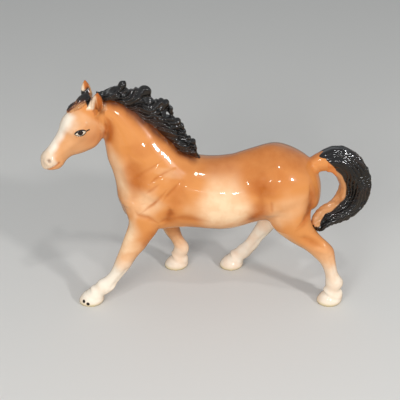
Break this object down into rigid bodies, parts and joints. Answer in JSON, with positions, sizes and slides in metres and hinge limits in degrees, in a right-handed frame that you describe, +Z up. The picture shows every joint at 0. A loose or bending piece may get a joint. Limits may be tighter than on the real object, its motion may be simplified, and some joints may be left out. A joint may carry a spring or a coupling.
{
  "type": "horse figurine",
  "caption": "Free-standing glazed ceramic figurine of a striding horse with a flowing mane and an arched tail.",
  "frame": {"origin": "on the surface that the hooves stand on, midway along the whole length and midway between the left and right hooves", "axes": "+Z up; the horse looks towards -X; its left side is -Y"},
  "size_m": [0.1866, 0.0486, 0.1362],
  "materials": {
    "chestnut_glaze": "airbrushed chestnut under a clear high-gloss glaze",
    "stocking_glaze": "chestnut fading to cream stockings under a clear high-gloss glaze",
    "black_glaze": "black-brown under a clear high-gloss glaze"
  },
  "bodies": {
    "root": {"body": "chestnut_glaze", "head": "chestnut_glaze", "left_ear": "chestnut_glaze", "right_ear": "chestnut_glaze", "forelock": "black_glaze", "mane": "black_glaze", "tail": "black_glaze", "left_foreleg": "stocking_glaze", "right_foreleg": "stocking_glaze", "left_hindleg": "stocking_glaze", "right_hindleg": "stocking_glaze"}
  },
  "joints": []
}
